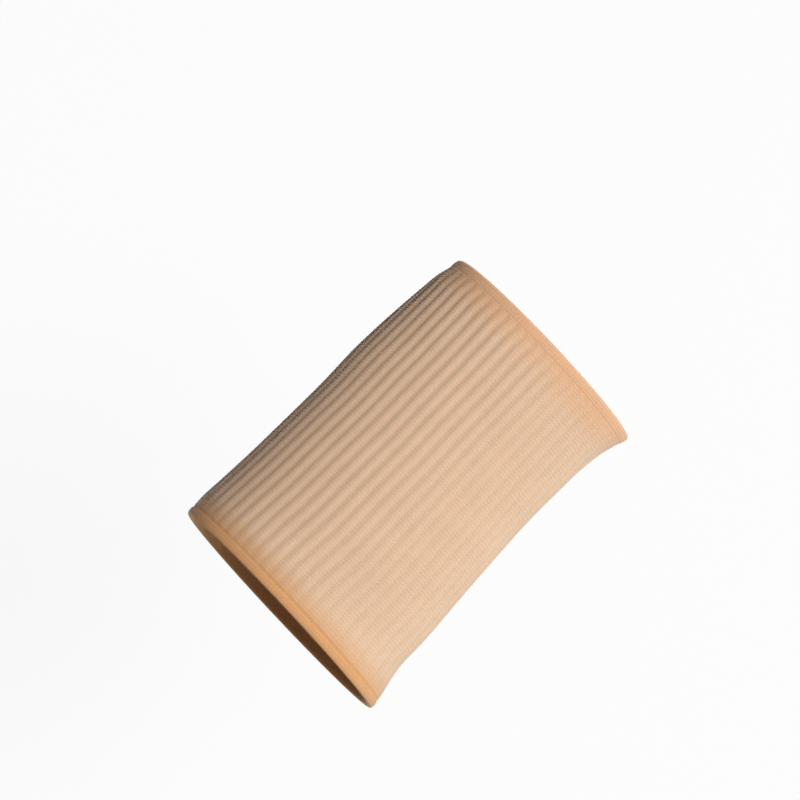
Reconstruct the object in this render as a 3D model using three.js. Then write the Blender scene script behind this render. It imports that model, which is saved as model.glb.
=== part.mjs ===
// Elastic wrist support: a ribbed knit tube with a narrow rolled hem at each end, stretched to its worn
// form. Millimetres. +X runs along the passage from the wide end to the narrow end, +Z points out of the
// broad upper side and +Y out of one edge. The origin is the middle of the passage.
import * as THREE from "three";
import { LoftGeometry } from "three/addons/geometries/LoftGeometry.js";

// Driving dimensions
const LENGTH = 93.6; // from the wide edge to the narrow edge
const WALL = 1.2; // the knit where it is thinnest, in the grooves between ribs
const RIB_COUNT = 50; // ribs round the tube, each running its whole length
const RIB_HEIGHT = 0.3; // rib crest above groove, outside
const RIB_HEIGHT_INSIDE = 0.15; // the same inside, where wear presses the ribs flat
const WIDE_HEM_WIDTH = 3.3;
const NARROW_HEM_WIDTH = 3.7;
const HEM_GAP = 0.3; // clearance between a hem and the end of the tube

// How finely the knit is faceted
const FACETS_PER_RIB = 4;
const TUBE_STEPS = 10; // rings of facets along the tube
const HEM_FACETS = 72; // facets round a hem

const RIB_KNIT_COLOR = 0xd9b591;
const HEM_KNIT_COLOR = 0xdca06a;

// The outside of the support from the wide edge to the narrow edge: an oval section at each place along
// it, with the sideways drift of the oval's middle. The tube tapers, has a waist on its -Y side and
// flares again at both edges there.
const SECTIONS = [
  { along: -LENGTH / 2, middleY: -2.9, breadth: 66.8, depth: 49.0 },
  { along: -43, middleY: -2.3, breadth: 66.8, depth: 48.4 },
  { along: -39, middleY: -1.7, breadth: 65.8, depth: 47.5 },
  { along: -34, middleY: -1.25, breadth: 64.7, depth: 46.4 },
  { along: -25, middleY: -1.0, breadth: 64.1, depth: 45.3 },
  { along: -12, middleY: -0.15, breadth: 62.9, depth: 43.6 },
  { along: 0, middleY: 0.65, breadth: 62.0, depth: 42.4 },
  { along: 12, middleY: 1.6, breadth: 61.7, depth: 41.5 },
  { along: 25, middleY: 1.8, breadth: 61.2, depth: 40.8 },
  { along: 35, middleY: 1.6, breadth: 60.8, depth: 40.5 },
  { along: 41, middleY: 1.0, breadth: 61.2, depth: 40.5 },
  { along: LENGTH / 2, middleY: -0.65, breadth: 61.5, depth: 40.5 },
];

// A hem's wall, once round it from the free edge: how far in from that edge, as a share of the hem's
// width, and how far out from the rib crests. A rolled lip, a shallow groove, a flat band and the inside.
const HEM_WALL = [
  { inward: 0.0, out: -0.75 },
  { inward: 0.06, out: -0.1 },
  { inward: 0.24, out: 0.2 },
  { inward: 0.42, out: -0.1 },
  { inward: 0.52, out: -0.45 },
  { inward: 0.64, out: -0.15 },
  { inward: 0.9, out: -0.15 },
  { inward: 1.0, out: -0.5 },
  { inward: 1.0, out: -WALL - RIB_HEIGHT },
  { inward: 0.06, out: -WALL - RIB_HEIGHT },
];

// The value of one column of SECTIONS at a place along the tube, on a smooth curve through the rows.
function sectionValue(column, along) {
  const last = SECTIONS.length - 1;
  const slope = (row) => {
    const before = SECTIONS[Math.max(row - 1, 0)];
    const after = SECTIONS[Math.min(row + 1, last)];
    return (after[column] - before[column]) / (after.along - before.along);
  };
  let row = 0;
  while (row < last - 1 && along > SECTIONS[row + 1].along) {
    row += 1;
  }
  const start = SECTIONS[row];
  const end = SECTIONS[row + 1];
  const span = end.along - start.along;
  const t = THREE.MathUtils.clamp((along - start.along) / span, 0, 1);
  const ease = t * t * (3 - 2 * t);
  const slopes = slope(row) * t * (1 - t) * (1 - t) - slope(row + 1) * t * t * (1 - t);
  return start[column] + (end[column] - start[column]) * ease + slopes * span;
}

// One ring of points round the tube, evenly spaced along the oval, each moved out of it by outAt(share).
function ring(along, facets, outAt) {
  const middleY = sectionValue("middleY", along);
  const halfBreadth = sectionValue("breadth", along) / 2;
  const halfDepth = sectionValue("depth", along) / 2;
  const oval = new THREE.EllipseCurve(middleY, 0, halfBreadth, halfDepth);
  const points = [];
  for (let facet = 0; facet < facets; facet += 1) {
    const share = facet / facets;
    const place = oval.getPointAt(share);
    const tangent = oval.getTangentAt(share);
    const out = outAt(share);
    points.push(new THREE.Vector3(along, place.x + tangent.y * out, place.y - tangent.x * out));
  }
  return points;
}

// A wall all the way round the passage, through rings that run along its outside and back inside.
function wallThrough(rings) {
  return new LoftGeometry([...rings, rings[0]], { closed: true });
}

// How far a rib stands up at a share of the way round: 1 on both points of a crest, 0 in a groove.
function ribWave(share) {
  const halfFacet = 0.5 / FACETS_PER_RIB;
  const wave = Math.cos(2 * Math.PI * (share * RIB_COUNT + halfFacet));
  return (1 + wave / Math.cos(2 * Math.PI * halfFacet)) / 2;
}

function sleeveGeometry() {
  const start = -LENGTH / 2 + WIDE_HEM_WIDTH + HEM_GAP;
  const end = LENGTH / 2 - NARROW_HEM_WIDTH - HEM_GAP;
  const facets = RIB_COUNT * FACETS_PER_RIB;
  const outside = (share) => RIB_HEIGHT * (ribWave(share) - 1);
  const inside = (share) => RIB_HEIGHT_INSIDE * ribWave(share) - RIB_HEIGHT - WALL;
  const outer = [];
  const inner = [];
  for (let step = 0; step <= TUBE_STEPS; step += 1) {
    const closerAtEnds = (1 - Math.cos((Math.PI * step) / TUBE_STEPS)) / 2;
    const along = THREE.MathUtils.lerp(start, end, closerAtEnds);
    outer.push(ring(along, facets, outside));
    inner.unshift(ring(along, facets, inside));
  }
  return wallThrough([...outer, ...inner]);
}

// A hem from its free edge, reaching inward by its width along the tube in the given direction.
function hemGeometry(edge, width, direction) {
  const rings = HEM_WALL.map(({ inward, out }) => {
    const along = edge + direction * width * inward;
    return ring(along, HEM_FACETS, () => out);
  });
  return wallThrough(direction > 0 ? rings : rings.reverse());
}

function knitMesh(name, geometry, color) {
  const material = new THREE.MeshStandardMaterial({ color, roughness: 0.9, metalness: 0 });
  const mesh = new THREE.Mesh(geometry, material);
  mesh.name = name;
  return mesh;
}

const wristSupport = new THREE.Group();
wristSupport.add(
  knitMesh("sleeve", sleeveGeometry(), RIB_KNIT_COLOR),
  knitMesh("wide_hem", hemGeometry(-LENGTH / 2, WIDE_HEM_WIDTH, 1), HEM_KNIT_COLOR),
  knitMesh("narrow_hem", hemGeometry(LENGTH / 2, NARROW_HEM_WIDTH, -1), HEM_KNIT_COLOR),
);

export default wristSupport;
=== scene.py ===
import math

import bpy
import numpy as np
from mathutils import Matrix, Vector


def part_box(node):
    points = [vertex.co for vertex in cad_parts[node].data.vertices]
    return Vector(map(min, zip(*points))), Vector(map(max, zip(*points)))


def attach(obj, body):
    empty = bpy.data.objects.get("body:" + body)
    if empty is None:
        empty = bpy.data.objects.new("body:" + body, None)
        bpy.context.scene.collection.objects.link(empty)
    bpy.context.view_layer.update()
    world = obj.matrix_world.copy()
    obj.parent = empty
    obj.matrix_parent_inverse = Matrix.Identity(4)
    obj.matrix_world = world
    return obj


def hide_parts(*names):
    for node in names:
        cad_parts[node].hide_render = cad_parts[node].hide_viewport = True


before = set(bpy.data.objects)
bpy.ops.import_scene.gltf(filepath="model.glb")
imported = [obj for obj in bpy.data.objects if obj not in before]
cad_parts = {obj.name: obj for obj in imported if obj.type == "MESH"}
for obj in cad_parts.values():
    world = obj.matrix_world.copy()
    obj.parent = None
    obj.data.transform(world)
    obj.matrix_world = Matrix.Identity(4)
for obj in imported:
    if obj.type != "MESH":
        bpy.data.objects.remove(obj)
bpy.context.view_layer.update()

# A pull-on elastic wrist support: a ribbed knit sleeve and a rolled hem at each end. Metres, in the frame
# of the solids: +X along the passage from the wide end to the narrow one, +Z out of the broad upper side.
MM = 0.001

# The ribbed sleeve
RIB_COUNT = 50
RIB_START = -0.29  # where the first rib's middle lies, in ribs from the +Y side
RIB_HEIGHT = 0.3 * MM
RIB_OVER_EDGE = 0.67  # how high the ribs stand over the two edges, as a share of that on the broad sides
RIB_LIFT = 0.06  # how much the ribs differ in height, as a share of it
RIB_DRIFT = 0.015  # how far a rib strays from its line, as a share of the pitch
WALL = 1.2 * MM  # the knit in the grooves between ribs
INSIDE_RIB = 0.9  # height of the ribs inside, as a share of RIB_HEIGHT
INSIDE_RINGS = 40
INSIDE_FADE = 3 * MM  # over how much of each end the ribs inside grow
COURSES = 96  # rows of loops along the sleeve
CROWN = 0.5  # where in its course the crown of a loop lies
EVEN_DRAW = 0.25  # the draw that leaves a loop in its own course
LOOP_RELIEF = 0.055 * MM  # how far a loop swells from the rib's own surface
LOOP_UNEVENNESS = 0.2  # how much the loops differ in that, as a share of it
HEM_PRESS = 0.05 * MM  # how far the ribs dip where they run into a hem
HEM_PRESS_REACH = 1.6 * MM
HEM_RIB = 0.4  # how high the ribs stand right beside a hem, as a share of their height
HEM_RIB_REACH = 5 * MM  # how far from a hem they have all of it
SHARP_CORNER = math.radians(60)  # the knit is smooth apart from corners sharper than this
GIRTH_STEPS = 720  # steps in which the girth of an oval is measured
SEED = 7

# One rib across: two columns of loops on its crest, then the groove. How far from the rib's middle as a
# share of the pitch, how high as a share of the rib height, how far along the loops are drawn there as a
# share of a course, and how strongly the loops swell.
RIB_ACROSS = (
    {"across": -0.270, "height": 0.62, "drawn": 0.00, "swell": 0.7},
    {"across": -0.135, "height": 1.00, "drawn": 0.50, "swell": 1.0},
    {"across": 0.000, "height": 0.90, "drawn": 0.00, "swell": 0.9},
    {"across": 0.135, "height": 1.00, "drawn": 0.50, "swell": 1.0},
    {"across": 0.270, "height": 0.62, "drawn": 0.00, "swell": 0.7},
    {"across": 0.500, "height": 0.00, "drawn": 0.25, "swell": 1.0},
)

# One loop along the rib, from its crown to where it dives under the next one: how far it swells.
LOOP_ALONG = (0.9, 0.1, -1.0)

# How the ribs run, by millimetres along the sleeve. They keep nearly straight while the sleeve swings
# aside at its ends: they are turned about it, and they spread over its -Y edge, both in ribs. Their height
# is a share of RIB_HEIGHT, and grows towards the narrow end, where the knit is stretched less.
RIB_RUN = (
    {"along": -46.8, "turned": 0.00, "spread": 0.70, "height": 1.10},
    {"along": -39.0, "turned": 0.00, "spread": 0.46, "height": 1.15},
    {"along": -28.0, "turned": -0.03, "spread": 0.25, "height": 1.30},
    {"along": -8.0, "turned": 0.00, "spread": 0.19, "height": 1.40},
    {"along": 10.0, "turned": 0.13, "spread": 0.20, "height": 1.45},
    {"along": 21.0, "turned": 0.02, "spread": 0.18, "height": 1.60},
    {"along": 33.0, "turned": -0.36, "spread": 0.04, "height": 1.75},
    {"along": 46.8, "turned": -1.00, "spread": 0.00, "height": 1.85},
)

# A hem's wall from the inside of the sleeve's end round the free edge and back outside, in millimetres:
# how far in from the free edge, how far out from the rib crests, and how much its roll adds to that. The
# lip bulges, a crease follows, and then a band on which the ribs begin, as shares of their height. The
# tone is 1 where the hem has its own colour and 0 where it has the sleeve's.
HEM_WALL = (
    {"inward": 3.30, "out": -1.50, "roll": 0.00, "rib": 0.00, "tone": 0.7},
    {"inward": 1.70, "out": -1.52, "roll": 0.00, "rib": 0.00, "tone": 0.9},
    {"inward": 0.40, "out": -1.48, "roll": 0.00, "rib": 0.00, "tone": 1.0},
    {"inward": 0.05, "out": -1.10, "roll": 0.00, "rib": 0.00, "tone": 1.0},
    {"inward": 0.00, "out": -0.62, "roll": 0.00, "rib": 0.00, "tone": 1.0},
    {"inward": 0.12, "out": -0.26, "roll": 0.00, "rib": 0.00, "tone": 1.0},
    {"inward": 0.45, "out": 0.00, "roll": 0.06, "rib": 0.00, "tone": 1.0},
    {"inward": 0.95, "out": 0.02, "roll": 0.20, "rib": 0.00, "tone": 1.0},
    {"inward": 1.50, "out": 0.02, "roll": 0.21, "rib": 0.00, "tone": 1.0},
    {"inward": 2.00, "out": 0.00, "roll": 0.10, "rib": 0.00, "tone": 1.0},
    {"inward": 2.30, "out": -0.02, "roll": -0.12, "rib": 0.00, "tone": 1.0},
    {"inward": 2.50, "out": -0.03, "roll": -0.32, "rib": 0.05, "tone": 1.0},
    {"inward": 2.70, "out": -0.04, "roll": -0.12, "rib": 0.15, "tone": 1.0},
    {"inward": 3.00, "out": -0.05, "roll": 0.00, "rib": 0.30, "tone": 0.9},
    {"inward": 3.30, "out": -0.05, "roll": 0.00, "rib": 0.40, "tone": 0.7},
)
HEM_TABLE_WIDTH = HEM_WALL[0]["inward"]  # the hem width that the table is drawn for, in millimetres
WIDE_ROLL = 0.65  # how full the wide hem's roll is
NARROW_ROLL = 0.25  # and the narrow hem's
LIP_OUT = 0.2 * MM  # how far the solids' lips stand out from the rib crests
CORNER_CUTS = 2  # how many times the corners of the wall are cut back
CORNER_CUT = 0.25  # how much of each side goes with a cut
HEM_LOOPS_PER_RIB = 3
HEM_POINTS_PER_LOOP = 4  # points of the mesh across a loop
LEGS_PER_LOOP = 2
HEM_COURSE = 0.8 * MM
HEM_RELIEF = 0.035 * MM  # how far the courses of a hem swell
HEM_WALE = 0.6  # how far its columns of loops do, as a share of that
HEM_DRAW = 0.25  # how far along the loops are drawn on such a column, as a share of a course

# The finish of the knit
END_COURSES = 7.0  # courses over which the sleeve takes on some of a hem's colour
END_TINT = 0.78  # how much of it, right beside the hem
GAP_SHADE_LIGHTNESS = 0.66  # how light the painted shade in the gaps round the loops is, as a share of the low colour of a finish
SHADE_BESIDE_LOOP = 0.22  # how much painted shade lies beside a loop
SHADE_BETWEEN_COURSES = 0.16  # how much more of it lies between two courses
STRAND_RELIEF = 0.3  # how far the strands of the yarn stand up, as a share of a loop's height
FUZZ_RELIEF = 0.1  # and its fuzz
FUZZ_ROUGHNESS = 0.16  # how much rougher the fuzz is
RIB_LOOP_HEIGHT = 0.07 * MM  # how far a loop stands up in the bump
HEM_LOOP_HEIGHT = 0.06 * MM

# Lighter places in the yarn: the noise that they follow, the values of it at which they start and are
# full, how much they show, and how light they are as a share of the face colour of a finish.
BLOTCH = {"scale": 110.0, "start": 0.3, "full": 0.7, "share": 0.16, "lightness": 1.1}
STRAND = {"scale": 1500.0, "start": 0.45, "full": 0.8, "share": 0.2, "lightness": 1.16}
FUZZ_SCALE = 6000.0

# Camera
PHOTO_SIDE = 800  # pixels
PIXEL = 0.25 * MM  # size of a pixel at the support
ORIGIN_PIXEL = (407.7, 475.4)  # where the middle of the passage falls in the picture
CAMERA_DISTANCE = 1.5
CAMERA_TILT = math.radians(6)  # towards the wide end
CAMERA_ROLL = math.radians(5)  # towards the -Y side
CAMERA_TURN = math.radians(43)  # the sleeve's slope in the picture
SENSOR = 36.0

# Backdrop and light
FLOOR_DROP = 0.32
FLOOR_REACH = 12.0
FLOOR_GREY = (0.08, 0.08, 0.08)
FLOOR_GLOW = 0.9
BACKDROP = (0.91, 0.91, 0.91)
AMBIENT = (1.0, 0.80, 0.62)
AMBIENT_STRENGTH = 0.025
WHITE = (1.0, 1.0, 1.0)
WARM = (1.0, 0.97, 0.91)
COOL = (0.84, 0.95, 1.0)

# Square soft boxes: the way to each from the middle of the sleeve, its distance, size, power and tint.
LIGHTS = {
    "key": {"way": (0.26, -0.28, 1.0), "distance": 1.6, "size": 0.5, "power": 26.6, "tint": WHITE},
    "side_light": {"way": (0.0, -1.0, 0.12), "distance": 1.4, "size": 0.8, "power": 4.2, "tint": COOL},
    "edge_light": {"way": (-0.2, -1.0, -0.6), "distance": 1.4, "size": 0.8, "power": 12.0, "tint": COOL},
    "low_fill": {"way": (-0.2, 0.5, -1.0), "distance": 1.4, "size": 0.8, "power": 14.0, "tint": WARM},
    "wide_end_fill": {"way": (-1.0, 0.1, 0.1), "distance": 1.2, "size": 0.6, "power": 3.6, "tint": WARM},
    "narrow_end_fill": {"way": (1.0, -0.3, 0.1), "distance": 1.2, "size": 0.6, "power": 5.0, "tint": WARM},
}


class Shade:
    """A value on its way through a material. Sums on it add Math nodes to that material."""

    def __init__(self, tree, socket=None):
        self.tree = tree
        self.socket = socket

    def node(self, kind, settings=None, sockets=None, out=0):
        """Adds a node: its settings are made first, then its sockets get their values or links."""
        made = self.tree.nodes.new("ShaderNode" + kind)
        for name, value in (settings or {}).items():
            setattr(made, name, value)
        for name, value in (sockets or {}).items():
            if isinstance(value, Shade):
                self.tree.links.new(value.socket, made.inputs[name])
            else:
                made.inputs[name].default_value = value
        return Shade(self.tree, made.outputs[out] if made.outputs else None)

    def math(self, operation, *values):
        return self.node("Math", {"operation": operation}, dict(enumerate(values)))

    def __add__(self, other):
        return self.math("ADD", self, other)

    def __sub__(self, other):
        return self.math("SUBTRACT", self, other)

    def __rsub__(self, other):
        return self.math("SUBTRACT", other, self)

    def __mul__(self, other):
        return self.math("MULTIPLY", self, other)

    __radd__ = __add__
    __rmul__ = __mul__

    def wave(self):
        """0 at whole numbers and 1 halfway between them."""
        turn = self * (2 * math.pi)
        return 0.5 - 0.5 * turn.math("COSINE", turn)

    def between(self, low, high):
        """0 where this is at low, 1 where it is at high, and eased between."""
        settings = {"interpolation_type": "SMOOTHSTEP"}
        return self.node("MapRange", settings, {"Value": self, "From Min": low, "From Max": high})

    def mix(self, colour, other):
        """From colour, where this is 0, to other, where it is 1."""
        sockets = {0: self, 6: colour, 7: other}  # a Mix node has others for numbers and vectors
        return self.node("Mix", {"data_type": "RGBA"}, sockets, out=2)


def bare_shade(owner):
    """The start of the nodes of a material or a world, with those it came with taken out."""
    owner.use_nodes = True
    owner.node_tree.nodes.clear()
    return Shade(owner.node_tree)


def srgb(red, green, blue):
    """A colour given as it looks on screen, from 0 to 255."""
    def linear(part):
        part /= 255
        return part / 12.92 if part <= 0.04045 else ((part + 0.055) / 1.055) ** 2.4
    return (linear(red), linear(green), linear(blue), 1.0)


def scaled(colour, share):
    """The same colour, lighter or darker."""
    return tuple(min(part * share, 1.0) for part in colour[:3]) + (1.0,)


def knit_finish(name, face, low, legs, loop_height, ends=None):
    """Matte elastic knit, of the colour face where the attribute "tone" is 1 and low where it is 0. The
    legs of the loops are counted once round the piece, and the attribute "course" counts courses along
    it. The two colours of ends fade in over the first and the last few courses."""
    material = bpy.data.materials.new(name)
    shade = bare_shade(material)
    place = shade.node("TexCoord", out="Object")
    unrolled = shade.node("UVMap", {"uv_map": "OFBake"})
    around = shade.node("SeparateXYZ", None, {"Vector": unrolled}, out="X")
    tone = shade.node("Attribute", {"attribute_name": "tone"}, out="Fac")
    course = shade.node("Attribute", {"attribute_name": "course"}, out="Fac")
    blotch = shade.node("TexNoise", None, {"Vector": place, "Scale": BLOTCH["scale"], "Detail": 2.0})
    strand = shade.node("TexNoise", None, {"Vector": place, "Scale": STRAND["scale"], "Detail": 2.0})
    fuzz = shade.node("TexNoise", None, {"Vector": place, "Scale": FUZZ_SCALE, "Detail": 3.0})
    arch = course.wave()
    loop = (around * legs).wave() * arch

    # Colour between low and face by the tone. On the sleeve the tone is the rib height, so the darker low
    # colour in the grooves is painted shade; on a hem the tone marks the hem's own colour against the
    # sleeve's.
    colour = tone.between(0.0, 1.0).mix(low, face)
    if ends:
        first, last = ends
        colour = ((1 - course.between(0.0, END_COURSES)) * END_TINT).mix(colour, first)
        colour = (course.between(COURSES - END_COURSES, COURSES) * END_TINT).mix(colour, last)
    # Painted shade in the gaps beside the loops and between their courses, where the yarn would shade
    # itself.
    painted_gap_shade = (1 - loop) * SHADE_BESIDE_LOOP + (1 - arch) * SHADE_BETWEEN_COURSES
    colour = painted_gap_shade.mix(colour, scaled(low, GAP_SHADE_LIGHTNESS))
    for noise, look in ((blotch, BLOTCH), (strand, STRAND)):
        lighter = noise.between(look["start"], look["full"]) * look["share"]
        colour = lighter.mix(colour, scaled(face, look["lightness"]))

    relief = loop + strand * STRAND_RELIEF + fuzz * FUZZ_RELIEF
    bump = shade.node("Bump", None, {"Strength": 0.8, "Distance": loop_height, "Height": relief})
    shader = shade.node("BsdfPrincipled", None, {
        "Base Color": colour,
        "Roughness": 0.8 + fuzz * FUZZ_ROUGHNESS,
        "Specular IOR Level": 0.22,
        "Sheen Weight": 0.2,
        "Sheen Roughness": 0.4,
        "Sheen Tint": (1.0, 0.97, 0.93, 1.0),
        "Normal": bump,
    })
    shade.node("OutputMaterial", None, {"Surface": shader})
    return material


def smooth_through(places, values):
    """A smooth curve through the values at those places, as a function of the place."""
    slopes = np.gradient(values, places)

    def curve(place):
        row = np.clip(np.searchsorted(places, place) - 1, 0, len(places) - 2)
        span = places[row + 1] - places[row]
        t = (place - places[row]) / span
        ease = t * t * (3 - 2 * t)
        bend = slopes[row] * t * (1 - t) ** 2 - slopes[row + 1] * t * t * (1 - t)
        return values[row] + (values[row + 1] - values[row]) * ease + bend * span

    return curve


def sleeve_ovals():
    """Curves of the oval outside the rib crests along X: its middle in Y, half its breadth and half its
    depth. They come from the rings of the solid sleeve, and from the lips of the solid hems."""
    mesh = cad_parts["sleeve"].data
    points = np.empty(len(mesh.vertices) * 3)
    mesh.vertices.foreach_get("co", points)
    points = points.reshape(-1, 3)
    rows = []
    for along in np.unique(points[:, 0].round(6)):
        ring = points[np.isclose(points[:, 0], along, atol=1e-6)]
        low, high = ring.min(axis=0), ring.max(axis=0)
        rows.append((along, (low[1] + high[1]) / 2, (high[1] - low[1]) / 2, high[2]))
    for hem in ("wide_hem", "narrow_hem"):
        low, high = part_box(hem)
        edge = max(low.x, high.x, key=abs)
        rows.append((edge, (low.y + high.y) / 2, (high.y - low.y) / 2 - LIP_OUT, high.z - LIP_OUT))
    rows = np.array(sorted(rows))
    return [smooth_through(rows[:, 0], rows[:, column]) for column in (1, 2, 3)]


def rib_run():
    """Curves of the columns of RIB_RUN along X."""
    along = np.array([row["along"] * MM for row in RIB_RUN])
    columns = [np.array([row[key] for row in RIB_RUN]) for key in ("turned", "spread", "height")]
    return [smooth_through(along, column) for column in columns]


MIDDLE, HALF_BREADTH, HALF_DEPTH = sleeve_ovals()
RIB_TURNED, RIB_SPREAD, RIB_SHARE = rib_run()


def laid(along, shares):
    """Where the ribs that belong at those shares of the girth lie, at their places along the sleeve."""
    around = 2 * math.pi * shares
    spread = RIB_SPREAD(along) * np.sin(around) * (1 - np.cos(around))
    return shares + (RIB_TURNED(along) - spread) / RIB_COUNT


def ring_points(along, shares, out):
    """Points round the oval at those shares of its girth from the +Y side, each moved along X to its own
    place and out of the oval by its own distance."""
    centre = float(np.mean(along))
    angle = np.linspace(0, 2 * math.pi, GIRTH_STEPS + 1)
    half_breadth, half_depth = HALF_BREADTH(centre), HALF_DEPTH(centre)
    steps = np.hypot(np.diff(half_breadth * np.cos(angle)), np.diff(half_depth * np.sin(angle)))
    girth = np.concatenate([[0], np.cumsum(steps)])
    turn = np.interp(np.mod(shares, 1.0), girth / girth[-1], angle)
    half_breadth, half_depth = HALF_BREADTH(along), HALF_DEPTH(along)
    normal = np.stack([half_depth * np.cos(turn), half_breadth * np.sin(turn)], axis=-1)
    normal /= np.linalg.norm(normal, axis=-1, keepdims=True)
    y = MIDDLE(along) + half_breadth * np.cos(turn) + normal[:, 0] * out
    z = half_depth * np.sin(turn) + normal[:, 1] * out
    return np.stack([along + np.zeros_like(turn), y, z], axis=-1)


def wall_mesh(name, points, attributes):
    """A closed wall from a grid of points: rows run along the outside and back inside, columns go round.
    Each attribute is a grid of values for the finish. The map OFBake unrolls the wall."""
    rows, columns = points.shape[:2]
    row, column = np.meshgrid(np.arange(rows), np.arange(columns), indexing="ij")
    next_row, next_column = (row + 1) % rows, (column + 1) % columns
    corners = [(row, column), (row, next_column), (next_row, next_column), (next_row, column)]
    quads = np.stack([a * columns + b for a, b in corners], axis=-1).reshape(-1, 4)
    mesh = bpy.data.meshes.new(name)
    mesh.vertices.add(rows * columns)
    mesh.vertices.foreach_set("co", points.astype(np.float32).ravel())
    mesh.loops.add(quads.size)
    mesh.loops.foreach_set("vertex_index", quads.astype(np.int32).ravel())
    mesh.polygons.add(len(quads))
    mesh.polygons.foreach_set("loop_start", np.arange(0, quads.size, 4, dtype=np.int32))
    mesh.update(calc_edges=True)

    lengths = np.linalg.norm(np.roll(points, -1, axis=0) - points, axis=-1).mean(axis=1)
    climb = np.concatenate([[0], np.cumsum(lengths)]) / lengths.sum()
    u = np.stack([column, column + 1, column + 1, column], axis=-1) / columns
    v = np.stack([climb[row], climb[row], climb[row + 1], climb[row + 1]], axis=-1)
    unrolled = mesh.uv_layers.new(name="OFBake")
    unrolled.data.foreach_set("uv", np.stack([u, v], axis=-1).astype(np.float32).ravel())
    for label, values in attributes.items():
        layer = mesh.attributes.new(label, "FLOAT", "POINT")
        layer.data.foreach_set("value", np.asarray(values, dtype=np.float32).ravel())
    mesh.validate()
    mesh.shade_smooth()
    mesh.set_sharp_from_angle(angle=SHARP_CORNER)
    piece = bpy.data.objects.new(name, mesh)
    bpy.context.scene.collection.objects.link(piece)
    return piece


def rib_heights(shares):
    """How high the ribs stand at those shares of the girth: 1 on a crest and 0 in a groove, each rib a
    little different from the next."""
    lift = np.random.default_rng(SEED).normal(1.0, RIB_LIFT, RIB_COUNT)
    # In ribs, counted from the middle of the groove before the first
    from_groove = np.mod(shares * RIB_COUNT - RIB_START + 0.5, RIB_COUNT)
    places = [row["across"] + 0.5 for row in RIB_ACROSS]
    heights = [row["height"] for row in RIB_ACROSS]
    height = np.interp(np.mod(from_groove, 1.0), places, heights, period=1.0)
    return height * lift[from_groove.astype(int)]


def groove_depths(along, shares, heights):
    """How far the knit lies below the rib crests, at those places, for ribs that stand so high there."""
    full = RIB_SHARE(along) * (1 - (1 - RIB_OVER_EDGE) * np.cos(2 * math.pi * shares) ** 2)
    return RIB_HEIGHT * full * (1 - heights)


def knit_sleeve():
    """The ribbed tube: every rib has two columns of drawn loops on its crest and purl loops beside it."""
    rng = np.random.default_rng(SEED)
    start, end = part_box("wide_hem")[1].x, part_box("narrow_hem")[0].x
    rib = {key: np.tile([row[key] for row in RIB_ACROSS], RIB_COUNT) for key in RIB_ACROSS[0]}
    which = np.repeat(np.arange(RIB_COUNT), len(RIB_ACROSS))
    line = (which + RIB_START + rib["across"]) / RIB_COUNT
    height = rib_heights(line)
    stray = rng.normal(0.0, RIB_DRIFT / RIB_COUNT, (2, RIB_COUNT))[:, which]
    course_length = (end - start) / COURSES
    points, tone, course = [], [], []

    def add_ring(along, shares, out, lightness, count):
        points.append(ring_points(along, laid(along, shares), out))
        tone.append(lightness)
        course.append(count + np.zeros_like(line))

    for step in range(len(LOOP_ALONG) * COURSES + 1):
        count = step / len(LOOP_ALONG)
        swing = math.pi * count / COURSES
        from_hem = min(count, COURSES - count) * course_length
        loose = min(from_hem / HEM_PRESS_REACH, 1.0)
        uneven = rng.normal(1.0, LOOP_UNEVENNESS, line.shape)
        swell = LOOP_ALONG[step % len(LOOP_ALONG)] * rib["swell"] * uneven
        along = start + course_length * (count + (rib["drawn"] - EVEN_DRAW) * loose)
        grown = HEM_RIB + (1 - HEM_RIB) * min(from_hem / HEM_RIB_REACH, 1.0)
        groove = groove_depths(along, line, height) * grown
        out = LOOP_RELIEF * swell * loose - groove - HEM_PRESS * (1 - loose) ** 2
        strayed = line + stray[0] * math.sin(swing) + stray[1] * math.sin(2 * swing)
        # The rib height is given as the tone, so the knit in the grooves is painted darker: painted shade.
        add_ring(along, strayed, out, rib["height"], count + CROWN)
    for back in np.linspace(0, 1, INSIDE_RINGS):
        along = end + (start - end) * back
        grown = min(min(along - start, end - along) / INSIDE_FADE, 1.0)
        inside = RIB_HEIGHT * (INSIDE_RIB * grown * height - 1) - WALL
        # Inside the tone runs the other way round, so the grooves inside are painted darker too: painted
        # shade.
        add_ring(along, line, inside, 1 - rib["height"], COURSES * (1 - back) + rib["drawn"])
    return wall_mesh("ribbed_sleeve", np.array(points), {"tone": tone, "course": course})


def rounded(rows):
    """An open outline, a row for each point, with its corners cut back. Its ends stay."""
    keep = 1 - CORNER_CUT
    for _ in range(CORNER_CUTS):
        near = keep * rows[:-1] + CORNER_CUT * rows[1:]
        far = CORNER_CUT * rows[:-1] + keep * rows[1:]
        cut = np.stack([near, far], axis=1).reshape(-1, rows.shape[1])
        rows = np.concatenate([rows[:1], cut, rows[-1:]])
    return rows


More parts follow.
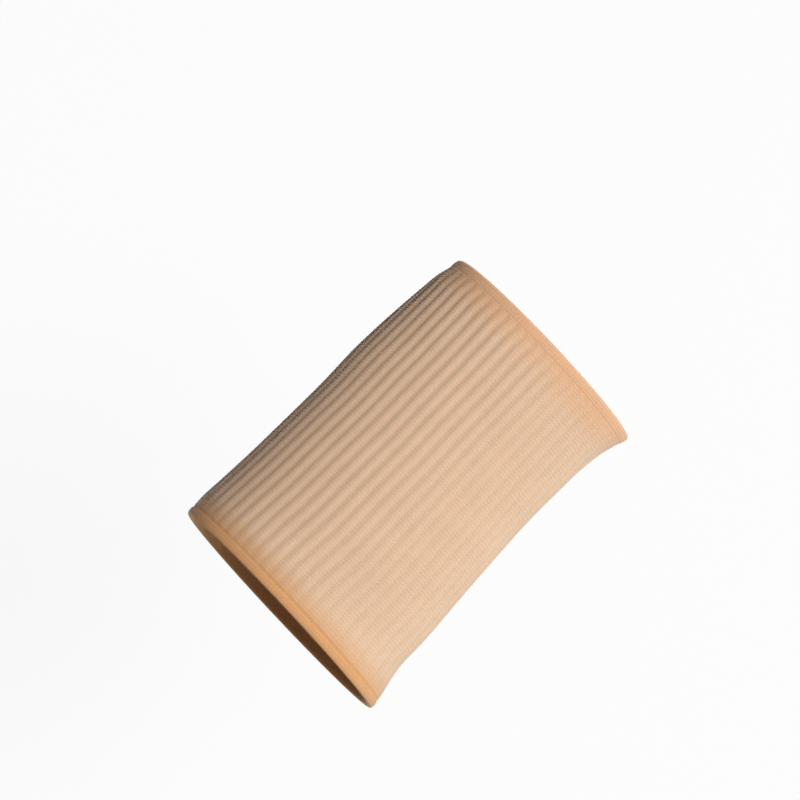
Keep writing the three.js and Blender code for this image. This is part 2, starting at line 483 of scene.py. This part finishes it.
def roll_hem(name, node, roll):
    """A rolled hem with a fine knit face, which meets the end of the sleeve."""
    low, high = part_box(node)
    edge = max(low.x, high.x, key=abs)
    inward = -math.copysign(1.0, edge)
    stretch = (high.x - low.x) / (HEM_TABLE_WIDTH * MM)
    wall = rounded(np.array([list(row.values()) for row in HEM_WALL]))
    across = wall[:, 0] * stretch * MM
    out = (wall[:, 1] + wall[:, 2] * roll) * MM
    run = np.concatenate([[0], np.cumsum(np.hypot(np.diff(across), np.diff(out)))])
    columns = RIB_COUNT * HEM_LOOPS_PER_RIB * HEM_POINTS_PER_LOOP
    shares = np.arange(columns) / columns
    wale = np.cos(2 * math.pi * np.arange(columns) / HEM_POINTS_PER_LOOP)
    groove = groove_depths(edge, shares, rib_heights(shares))
    points, tone, course = [], [], []
    rows = range(len(wall))
    if inward < 0:
        rows = reversed(rows)  # the faces of both hems then look outward
    for row in rows:
        rib, lightness = wall[row, 3:]
        count = run[row] / HEM_COURSE + HEM_DRAW * wale
        relief = HEM_RELIEF * (1 - rib) * (HEM_WALE * wale - np.cos(2 * math.pi * count))
        along = np.full(columns, edge + inward * across[row])
        points.append(ring_points(along, laid(along, shares), out[row] - rib * groove + relief))
        tone.append(np.full(columns, lightness))
        course.append(count)
    return wall_mesh(name, np.array(points), {"tone": tone, "course": course})


def take_view():
    """The camera, at the picture's own angle to the sleeve."""
    towards = Vector((
        -math.sin(CAMERA_TILT),
        -math.sin(CAMERA_ROLL) * math.cos(CAMERA_TILT),
        math.cos(CAMERA_ROLL) * math.cos(CAMERA_TILT),
    ))
    sleeve_way = (Vector((1, 0, 0)) - towards * towards.x).normalized()
    side_way = towards.cross(sleeve_way)
    right = math.cos(CAMERA_TURN) * sleeve_way - math.sin(CAMERA_TURN) * side_way
    up = math.sin(CAMERA_TURN) * sleeve_way + math.cos(CAMERA_TURN) * side_way
    data = bpy.data.cameras.new("camera")
    data.sensor_width = SENSOR
    data.lens = SENSOR * CAMERA_DISTANCE / (PHOTO_SIDE * PIXEL)
    camera = bpy.data.objects.new("camera", data)
    bpy.context.scene.collection.objects.link(camera)
    across = (PHOTO_SIDE / 2 - ORIGIN_PIXEL[0]) * PIXEL
    above = (ORIGIN_PIXEL[1] - PHOTO_SIDE / 2) * PIXEL
    place = towards * CAMERA_DISTANCE + right * across + up * above
    camera.matrix_world = Matrix.Translation(place) @ Matrix((right, up, towards)).transposed().to_4x4()
    bpy.context.scene.camera = camera


def backdrop():
    """A world that looks pale and plain, and gives the pieces only a weak warm light."""
    world = bpy.data.worlds.new("studio")
    shade = bare_shade(world)
    seen = shade.node("LightPath", out="Is Camera Ray")
    dim = shade.node("Background", None, {"Color": (*AMBIENT, 1.0), "Strength": AMBIENT_STRENGTH})
    pale = shade.node("Background", None, {"Color": (*BACKDROP, 1.0), "Strength": 1.0})
    both = shade.node("MixShader", None, {0: seen, 1: dim, 2: pale})
    shade.node("OutputWorld", None, {"Surface": both})
    bpy.context.scene.world = world


def pale_floor():
    """A wide floor about as pale as the backdrop, which takes no part in the light on the pieces."""
    corners = [(-1, -1), (1, -1), (1, 1), (-1, 1)]
    points = [(x * FLOOR_REACH, y * FLOOR_REACH, -FLOOR_DROP) for x, y in corners]
    mesh = bpy.data.meshes.new("floor")
    mesh.from_pydata(points, [], [(0, 1, 2, 3)])
    floor = bpy.data.objects.new("floor", mesh)
    bpy.context.scene.collection.objects.link(floor)
    floor.visible_diffuse = False
    floor.visible_glossy = False
    floor.visible_shadow = False
    paint = bpy.data.materials.new("pale_floor")
    shade = bare_shade(paint)
    shader = shade.node("BsdfPrincipled", None, {
        "Base Color": (*FLOOR_GREY, 1.0),
        "Roughness": 1.0,
        "Specular IOR Level": 0.0,
        "Emission Color": (*WHITE, 1.0),
        "Emission Strength": FLOOR_GLOW,
    })
    shade.node("OutputMaterial", None, {"Surface": shader})
    mesh.materials.append(paint)
    return floor


def soft_light(name, way, distance, size, power, tint):
    """A square soft box that looks at the middle of the sleeve."""
    data = bpy.data.lights.new(name, "AREA")
    data.size = size
    data.energy = power
    data.color = tint
    light = bpy.data.objects.new(name, data)
    towards = Vector(way).normalized()
    light.location = towards * distance
    light.rotation_euler = towards.to_track_quat("Z", "Y").to_euler()
    light.visible_camera = False
    bpy.context.scene.collection.objects.link(light)


def studio():
    """A plain pale floor well below the support, one large soft light near the camera and weaker fills."""
    bpy.context.scene.view_settings.view_transform = "Standard"
    backdrop()
    floor = pale_floor()
    for name, light in LIGHTS.items():
        soft_light(name, **light)


take_view()

# Colours and finishes
BEIGE = srgb(220, 186, 156)
# The knit in the grooves between the ribs is painted darker than on the crests: painted shade.
BEIGE_PAINTED_GROOVE_SHADE = srgb(213, 177, 146)
WIDE_LIP = srgb(208, 151, 96)
NARROW_LIP = srgb(225, 175, 135)
SLEEVE_LEGS = RIB_COUNT * len(RIB_ACROSS)
HEM_LEGS = RIB_COUNT * HEM_LOOPS_PER_RIB * LEGS_PER_LOOP
LIPS = (WIDE_LIP, NARROW_LIP)
rib_knit = knit_finish("rib_knit", BEIGE, BEIGE_PAINTED_GROOVE_SHADE, SLEEVE_LEGS, RIB_LOOP_HEIGHT, LIPS)
wide_hem_knit = knit_finish("wide_hem_knit", WIDE_LIP, BEIGE, HEM_LEGS, HEM_LOOP_HEIGHT)
narrow_hem_knit = knit_finish("narrow_hem_knit", NARROW_LIP, BEIGE, HEM_LEGS, HEM_LOOP_HEIGHT)

# The pieces, each in the place of its solid
sleeve = knit_sleeve()
wide_hem = roll_hem("rolled_wide_hem", "wide_hem", WIDE_ROLL)
narrow_hem = roll_hem("rolled_narrow_hem", "narrow_hem", NARROW_ROLL)
for piece, node, slot, finish in (
    (sleeve, "sleeve", "rib_knit", rib_knit),
    (wide_hem, "wide_hem", "hem_knit", wide_hem_knit),
    (narrow_hem, "narrow_hem", "hem_knit", narrow_hem_knit),
):
    piece.data.materials.append(finish)
    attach(piece, "root")
    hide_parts(node)

studio()
